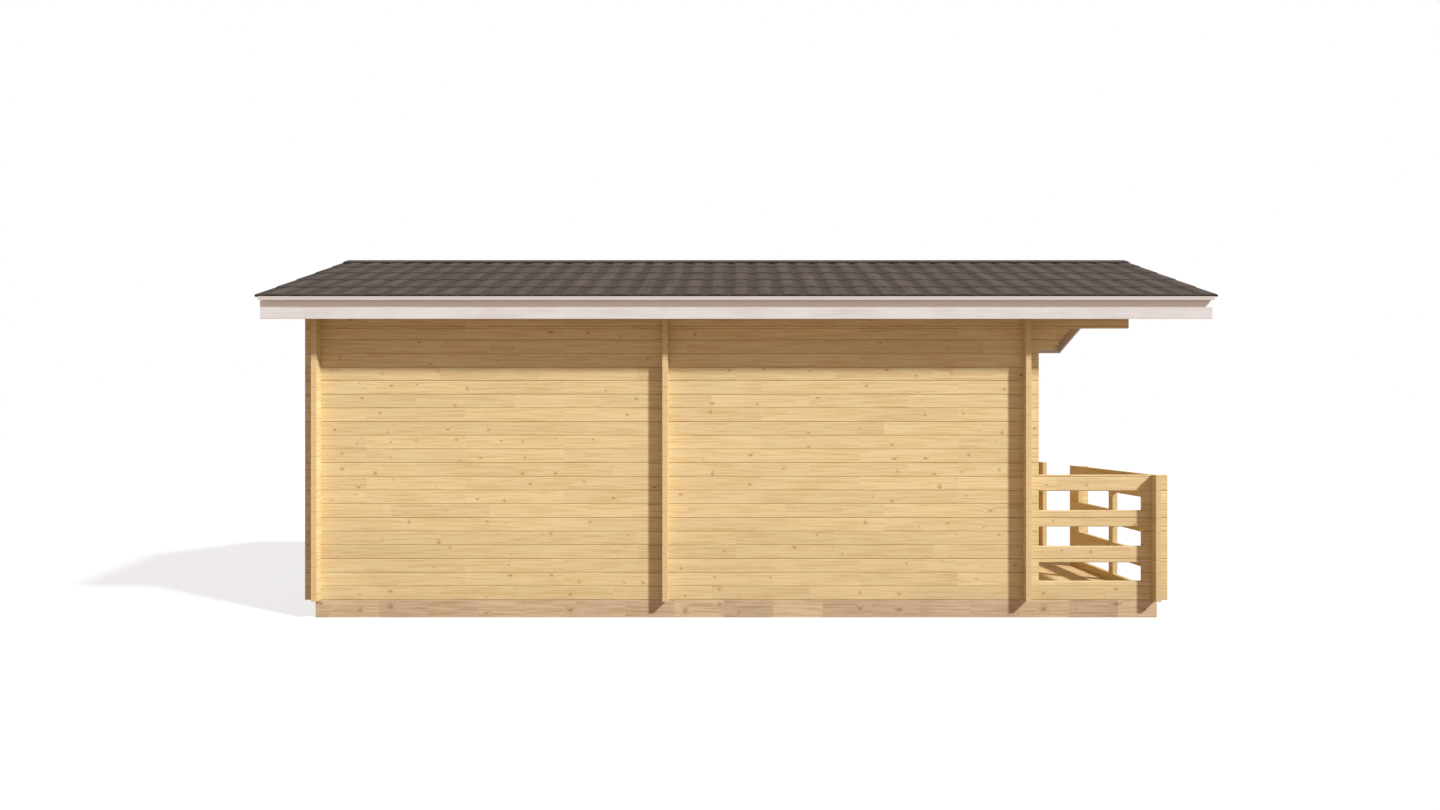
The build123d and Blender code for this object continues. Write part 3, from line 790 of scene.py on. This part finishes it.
class CABIN_OT_tile_sheets(bpy.types.Operator):
    """Make the profiled tile sheets of both slopes and finish the ridge cap"""

    bl_idname = "cabin.tile_sheets"
    bl_label = "Tile sheets"

    def execute(self, context):
        look = context.scene.cabin_roof
        low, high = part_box("roof_tiles_left")
        ridge_play = (high.y - low.y) * 0.002
        slope_length = (high.y - low.y) / math.cos(look.pitch) - ridge_play
        row = slope_length / look.steps
        # The dark lap marks, dirt and painted shade, start this far in from the eave
        dirt_and_shade_play = 0.005
        coat = coated_steel("coated steel, tile sheets", trough=low.x + look.first_trough,
                            eave=-low.y - dirt_and_shade_play, row=row * math.cos(look.pitch))

        # Each sheet keeps a little inside the slab that it replaces
        play = 0.0002
        over_eave = 0.0019
        length = high.x - low.x - play
        columns_to_wave = 12
        tree = tile_sheet_tree()
        for side, first in first_troughs(length).items():
            sheet = grow(f"tile_sheet_{side}", tree, {
                "Length": length, "Wave": look.wave, "First Trough": first,
                "Wave Height": look.wave_height, "Step": row, "Steps": look.steps,
                "Step Height": look.step_height, "Lean": look.lean, "Lip": look.lip, "Sheet": look.sheet,
                "Columns": round(length / look.wave * columns_to_wave) + 1, "Coat": coat,
            })
            sheet.data.transform(slope_place(side, play) @ Matrix.Translation((0, -over_eave, 0)))
            settle(sheet, "roof_sheet", f"roof_tiles_{side}")

        # The cap, and a strip under each of its edges that closes the waves
        plain = coated_steel("coated steel, ridge cap")
        dress(plain, "ridge_cap")
        cap_low, cap_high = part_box("ridge_cap")
        cap_edge = slope_length - (cap_high.y - cap_low.y) / 2 / math.cos(look.pitch)
        strip = 0.01
        strip_height = 0.0215
        under_cap = 0.012
        start = cap_edge + under_cap
        spans = [((low.x + strip, start, 0.0), (high.x - strip, start + strip, strip_height))]
        for side in ("left", "right"):
            made = piece(boxes(f"ridge_filler_{side}", spans, edge=0.0005), plain, "roof_sheet")
            made.data.transform(slope_place(side, 0.0))
        return {"FINISHED"}


class CABIN_OT_roof_lining(bpy.types.Operator):
    """Lay the roof boards that show under the eaves and over the porch"""

    bl_idname = "cabin.roof_lining"
    bl_label = "Roof lining"

    def execute(self, context):
        look = context.scene.cabin_roof
        wood = context.scene.cabin_timber
        low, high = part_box("roof_boards_left")
        thickness = (high.z - low.z - math.tan(look.pitch) * (high.y - low.y)) * math.cos(look.pitch)
        lean = thickness * math.sin(look.pitch)
        tiles_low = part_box("roof_tiles_left")[0]
        from_eave = (low.y - tiles_low.y + lean) / math.cos(look.pitch)
        to_ridge = from_eave + (high.y - low.y - lean) / math.cos(look.pitch)
        step = (high.x - low.x) / round((high.x - low.x) / look.lining_board)
        lining = timber("planed spruce, roof boards", "Y", "X", step, low.x, wood.pale, wood.deep, joint=0.6)
        for side in ("left", "right"):
            board_run(
                f"roof_lining_{side}", (low.x, from_eave, -thickness), (high.x, to_ridge, 0.0), "Y",
                aim=look.lining_board, gap=0.001, edge=0.003, material=lining, slot="roof_boards",
                nodes=[f"roof_boards_{side}"], place=slope_place(side, 0.0),
            )
        return {"FINISHED"}


class CABIN_OT_edge_boards(bpy.types.Operator):
    """Paint the fascias, the eave trims and the barge boards"""

    bl_idname = "cabin.edge_boards"
    bl_label = "Edge boards"

    def execute(self, context):
        pitch = context.scene.cabin_roof.pitch
        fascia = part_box("fascias")[0]
        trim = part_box("eave_trims")[0]
        # How far the eave trim's shadow falls below it at the key light's slope; the fascia is painted paler
        # there, which is painted light
        shadow_drop = 1.3 * (fascia.y - trim.y)
        paint = "white paint on spruce"
        dress(painted_boards(f"{paint}, fascias", "X", shadow_foot=trim.z - shadow_drop), "fascias")
        dress(painted_boards(f"{paint}, eave trims", "X", wear=0.2), "eave_trims")
        barge = painted_boards(f"{paint}, barge boards", "Y", wear=0.1, slope=pitch)
        dress(barge, "rear_barge_boards", "front_barge_boards")
        return {"FINISHED"}


def deck_runs():
    """The porch deck's three runs of boards: where each starts and ends across the porch, where it ends
    along it, and how many boards it has.
    """
    look = bpy.context.scene.cabin_timber
    low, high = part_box("porch_deck")
    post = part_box("entry_corner_post")[0]
    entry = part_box("front_balustrade_rails")[1].y
    runs = ((low.y, entry, post.x), (entry, post.y, high.x), (post.y, high.y, post.x))
    return [(*run, max(1, round((run[1] - run[0]) / look.deck_board))) for run in runs]


class CABIN_OT_floors(bpy.types.Operator):
    """Lay the floor boards of the rooms and the deck boards of the porch"""

    bl_idname = "cabin.floors"
    bl_label = "Floors and deck"

    def execute(self, context):
        look = context.scene.cabin_timber
        for room in ("rear_room", "front_room"):
            low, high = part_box(f"{room}_floor")
            step = (high.y - low.y) / round((high.y - low.y) / look.floor_board)
            boards = timber(f"planed spruce, {room} floor", "X", "Y", step, low.y, look.deck_pale,
                            look.deck_deep, joint=0.7, roughness=0.45)
            board_run(f"{room}_floor_boards", low, high, "X", aim=look.floor_board, gap=0.0008, edge=0.0015,
                      material=boards, slot="floor_boards", nodes=[f"{room}_floor"])

        low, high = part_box("porch_deck")
        for number, (y_from, y_to, x_to, count) in enumerate(deck_runs(), 1):
            boards = timber(f"planed treated pine, deck {number}", "X", "Y", (y_to - y_from) / count, y_from,
                            look.deck_pale, look.deck_deep, joint=0.4, roughness=0.7)
            made = board_run(
                f"deck_boards_{number}", (low.x, y_from, low.z), (x_to, y_to, high.z), "X",
                aim=look.deck_board, gap=look.deck_gap, edge=0.004, material=boards, slot="deck_boards",
                cuts=2,
            )
            if number == 1:
                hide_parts("porch_deck")
        return {"FINISHED"}


def ring(low, high, sides, foot, head):
    """Spans of the two uprights and of the level pieces between them, round a rectangle in the wall."""
    left = low[1] + sides
    right = high[1] - sides
    uprights = [(low, (high[0], left, high[2])), ((low[0], right, low[2]), high)]
    levels = [((low[0], left, low[2]), (high[0], right, low[2] + foot)),
              ((low[0], left, high[2] - head), (high[0], right, high[2]))]
    return uprights, levels


def inset(low, high, sides, foot, head):
    """The rectangle left inside a ring."""
    return low + Vector((0, sides, foot)), high - Vector((0, sides, head))


def satin_pine(name, run, across, pitch, first=0.0, joint=0.0):
    """Planed pine under a satin varnish. The eye sees a deeper wood than the walls, with a soft shine."""
    look = bpy.context.scene.cabin_joinery
    return timber(f"satin pine, {name}", run, across, pitch, first, look.pale, look.deep, joint=joint,
                  roughness=0.45)


def opening_frame(node, foot_overlap, inner_ring, middle):
    """Casings on both faces of the wall, the lining between them and a ring inside it, board by board."""
    look = bpy.context.scene.cabin_joinery
    low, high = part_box(node)
    width = look.overlap + look.lining
    foot = foot_overlap + look.lining
    rings = []
    for x_from, x_to in ((low.x, low.x + look.casing), (high.x - look.casing, high.x)):
        rings.append(ring((x_from, low.y, low.z), (x_to, high.y, high.z), width, foot, width))
    wall_low, wall_high = inset(low, high, look.overlap, foot_overlap, look.overlap)
    wall_low.x += look.casing
    wall_high.x -= look.casing
    rings.append(ring(wall_low, wall_high, look.lining, look.lining, look.lining))
    inner_low, inner_high = inset(wall_low, wall_high, look.lining, look.lining, look.lining)
    ring_width, ring_depth = inner_ring
    inner_low.x = middle - ring_depth / 2
    inner_high.x = middle + ring_depth / 2
    rings.append(ring(inner_low, inner_high, ring_width, ring_width, ring_width))
    uprights = [board for pair, _ in rings for board in pair]
    levels = [board for _, pair in rings for board in pair]
    name = node.removesuffix("_frame")
    upright = satin_pine(f"{name} uprights", "Z", "Y", pitch=0.31)
    level = satin_pine(f"{name} level boards", "Y", "Z", pitch=0.31)
    piece(boxes(f"{name}_uprights", uprights, look.edge, cuts=2), upright, "joinery", node)
    piece(boxes(f"{name}_level_boards", levels, look.edge, cuts=2), level, "joinery")
    return level


class CABIN_OT_windows(bpy.types.Operator):
    """Make the window frames of boards, finish the panes and fit the bars"""

    bl_idname = "cabin.windows"
    bl_label = "Windows"

    def execute(self, context):
        look = context.scene.cabin_joinery
        glass = clear_glass("float glass")
        half = look.bar / 2
        rebate = 0.008
        set_back = 0.0004
        for window in ("front_window", "rear_window"):
            low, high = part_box(f"{window}_glass")
            middle = (low + high) / 2
            level = opening_frame(f"{window}_frame", look.overlap, (look.sash, look.sash_depth), middle.x)
            dress(glass, f"{window}_glass")
            rows = [low.z + (high.z - low.z) * share for share in (1 / 3, 2 / 3)]
            spans = []
            for x_from, x_to in ((low.x - look.bar_depth, low.x), (high.x, high.x + look.bar_depth)):
                for z in rows:
                    spans.append(((x_from, low.y + rebate, z - half), (x_to, high.y - rebate, z + half)))
                spans.append(((x_from, middle.y - half, low.z + rebate),
                              (x_to - set_back, middle.y + half, high.z - rebate)))
            piece(boxes(f"{window}_bars", spans, look.edge), level, "joinery")
        return {"FINISHED"}


class CABIN_OT_door(bpy.types.Operator):
    """Make the framed and boarded door with its frame, hinges and lever"""

    bl_idname = "cabin.door"
    bl_label = "Door"

    def execute(self, context):
        look = context.scene.cabin_joinery
        low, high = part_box("door_leaf")
        opening_frame("door_frame", 0.0, (look.stop, look.stop_depth), low.x - look.stop_depth / 2)

        # The leaf: stiles, three rails and two fields of narrow boards
        stile = look.stile
        stiles = ring(low, high, stile, stile, stile)[0]
        upright = satin_pine("door stiles", "Z", "Y", pitch=0.13)
        piece(boxes("door_stiles", stiles, look.edge, cuts=2), upright, "joinery", "door_leaf")
        bottom_rail = 0.2
        lock_rail = (0.86, 1.04)
        top_rail = 0.12
        rails = (
            (low.z, low.z + bottom_rail),
            (low.z + lock_rail[0], low.z + lock_rail[1]),
            (high.z - top_rail, high.z),
        )
        y_from = low.y + stile
        y_to = high.y - stile
        crossing = [((low.x, y_from, z_from), (high.x, y_to, z_to)) for z_from, z_to in rails]
        level = satin_pine("door rails", "Y", "Z", pitch=0.21)
        piece(boxes("door_rails", crossing, look.edge, cuts=2), level, "joinery")
        recess = 0.009
        boards_across = 6
        board = (high.y - low.y - 2 * stile) / boards_across
        panel = satin_pine("door boards", "Z", "Y", board, y_from, joint=0.5)
        for number in (1, 2):
            z_from = rails[number - 1][1]
            z_to = rails[number][0]
            board_run(
                f"door_panel_{number}", (low.x + recess, y_from, z_from), (high.x - recess, y_to, z_to), "Z",
                aim=board, gap=0.0005, edge=0.004, material=panel, slot="joinery",
            )

        # A plate, a spindle, a lever and a lock cylinder on both faces. Two radii, a length and a number of
        # sides give each turned piece, and its middle stands out from the leaf
        steel = zinc_plate("zinc plate, door furniture", "#B9B6B0", 0.28)
        spindle = (0.01, 0.009, 0.036, 16)
        spindle_out = 0.02
        lever = (0.009, 0.0075, 0.12, 16)
        lever_out = 0.036
        lever_reach = 0.05
        cylinder = (0.009, 0.0085, 0.008, 16)
        cylinder_out = 0.009
        lever_z = low.z + 0.95
        lever_y = low.y + stile / 2
        plate = 0.006
        half_width = 0.02
        half_height = 0.11
        above = lever_z + 0.04
        below = lever_z - 0.05
        turned = []
        plates = []
        for face, out in ((high.x, 1), (low.x, -1)):
            near, far = sorted((face, face + out * plate))
            plates.append(((near, lever_y - half_width, lever_z - half_height),
                           (far, lever_y + half_width, lever_z + half_height)))
            turned += [
                ((face + out * spindle_out, lever_y, above), (out, 0, 0), *spindle),
                ((face + out * lever_out, lever_y + lever_reach, above), (0, 1, 0), *lever),
                ((face + out * cylinder_out, lever_y, below), (out, 0, 0), *cylinder),
            ]
        piece(boxes("door_lever_plates", plates, edge=0.0025, cuts=2), steel, "joinery")
        piece(rounds("door_levers", turned), steel, "joinery")

        # Three hinges of two knuckles and a cap, the middle one level with the lever's plate
        hinge_x = high.x + 0.004
        hinge_y = high.y + 0.001
        from_end = 0.2
        knuckle = (0.0075, 0.0075, 0.054, 14)
        knuckle_up = 0.028
        cap = (0.006, 0.002, 0.006, 14)
        cap_up = 0.058
        hinges = []
        for z in (low.z + from_end, lever_z, high.z - from_end):
            for up, turn in ((-knuckle_up, knuckle), (knuckle_up, knuckle), (cap_up, cap)):
                hinges.append(((hinge_x, hinge_y, z + up), (0, 0, 1), *turn))
        piece(rounds("door_hinges", hinges), steel, "joinery")
        return {"FINISHED"}


class CABIN_OT_fasteners(bpy.types.Operator):
    """Fix the tile sheets and the deck with screws"""

    bl_idname = "cabin.fasteners"
    bl_label = "Fasteners"

    def execute(self, context):
        look = context.scene.cabin_roof
        coat = bpy.data.materials["coated steel, ridge cap"]
        zinc = zinc_plate("zinc plate, screws", "#C9C5BE", 0.4)

        # Roof screws: a washer and a six-sided head in every other trough, high up in each tile row. Two
        # radii, a length and a number of sides give each turned piece
        washer = (0.008, 0.008, 0.0015, 10)
        washer_up = Vector((0, 0, 0.0008))
        head = (0.0045, 0.004, 0.004, 6)
        head_up = Vector((0, 0, 0.0035))
        low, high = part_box("roof_tiles_left")
        step = (high.y - low.y) / math.cos(look.pitch) / look.steps
        share = 0.86
        seat = look.step_height * (1 - share) + look.sheet + look.lean * share / look.steps
        columns = 18
        for side, trough in first_troughs(high.x - low.x).items():
            first = Vector((low.x + trough + 2 * look.wave, step * share, seat))
            screw = rounds(f"roof_screw_{side}", [
                (first + washer_up, (0, 0, 1), *washer), (first + head_up, (0, 0, 1), *head),
            ])
            made = grow(f"roof_screws_{side}", repeat_tree(), {
                "Rows": look.steps - 1, "Row Step": (0.0, step, look.lean / look.steps), "Columns": columns,
                "Column Step": (2 * look.wave, 0.0, 0.0), "Nudge": (0.0, 0.004, 0.0), "Seed": 11,
                "Finish": coat,
            }, screw)
            made.data.transform(slope_place(side, 0.0))
            settle(made, "roof_sheet")

        # Deck screws: two across each board, at three places along it
        deck_low, deck_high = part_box("porch_deck")
        inset_x = 0.035
        inset_y = 0.03
        sunk = 0.0004
        round_head = (0.0042, 0.0042, 0.0014, 10)
        for number, (y_from, y_to, x_to, count) in enumerate(deck_runs(), 1):
            board = (y_to - y_from) / count
            start = Vector((deck_low.x + inset_x, y_from, deck_high.z - sunk))
            places = [start + Vector((0, y, 0)) for y in (inset_y, board - inset_y)]
            pair = [(place, (0, 0, 1), *round_head) for place in places]
            made = grow(f"deck_screws_{number}", repeat_tree(), {
                "Rows": 3, "Row Step": ((x_to - deck_low.x) / 2 - inset_x, 0.0, 0.0), "Columns": count,
                "Column Step": (0.0, board, 0.0), "Nudge": (0.003, 0.002, 0.0), "Seed": 5 + number,
                "Finish": zinc,
            }, rounds(f"deck_screws_{number}", pair))
            settle(made, "deck_boards")
        return {"FINISHED"}


class CABIN_PT_panel(bpy.types.Panel):
    """The cabin's settings and its pieces"""

    bl_idname = "CABIN_PT_panel"
    bl_label = "Prefab cabin"
    bl_space_type = "VIEW_3D"
    bl_region_type = "UI"
    bl_category = "Cabin"

    def draw(self, context):
        for name, group in groups:
            box = self.layout.box()
            for setting in group.__annotations__:
                box.prop(getattr(context.scene, name), setting)
        for operator in operators:
            self.layout.operator(operator.bl_idname)


operators = (
    CABIN_OT_stage,
    CABIN_OT_planks,
    CABIN_OT_tile_sheets,
    CABIN_OT_roof_lining,
    CABIN_OT_edge_boards,
    CABIN_OT_floors,
    CABIN_OT_windows,
    CABIN_OT_door,
    CABIN_OT_fasteners,
)
groups = (
    ("cabin_timber", CabinTimber),
    ("cabin_roof", CabinRoof),
    ("cabin_joinery", CabinJoinery),
    ("cabin_stage", CabinStage),
)


def register():
    for name, group in groups:
        bpy.utils.register_class(group)
        setattr(bpy.types.Scene, name, PointerProperty(type=group))
    for operator in operators:
        bpy.utils.register_class(operator)
    bpy.utils.register_class(CABIN_PT_panel)


def unregister():
    bpy.utils.unregister_class(CABIN_PT_panel)
    for operator in reversed(operators):
        bpy.utils.unregister_class(operator)
    for name, group in reversed(groups):
        delattr(bpy.types.Scene, name)
        bpy.utils.unregister_class(group)


def main():
    register()
    bpy.ops.cabin.stage()
    bpy.ops.cabin.planks()
    bpy.ops.cabin.tile_sheets()
    bpy.ops.cabin.roof_lining()
    bpy.ops.cabin.edge_boards()
    bpy.ops.cabin.floors()
    bpy.ops.cabin.windows()
    bpy.ops.cabin.door()
    bpy.ops.cabin.fasteners()


if __name__ == "__main__":
    main()
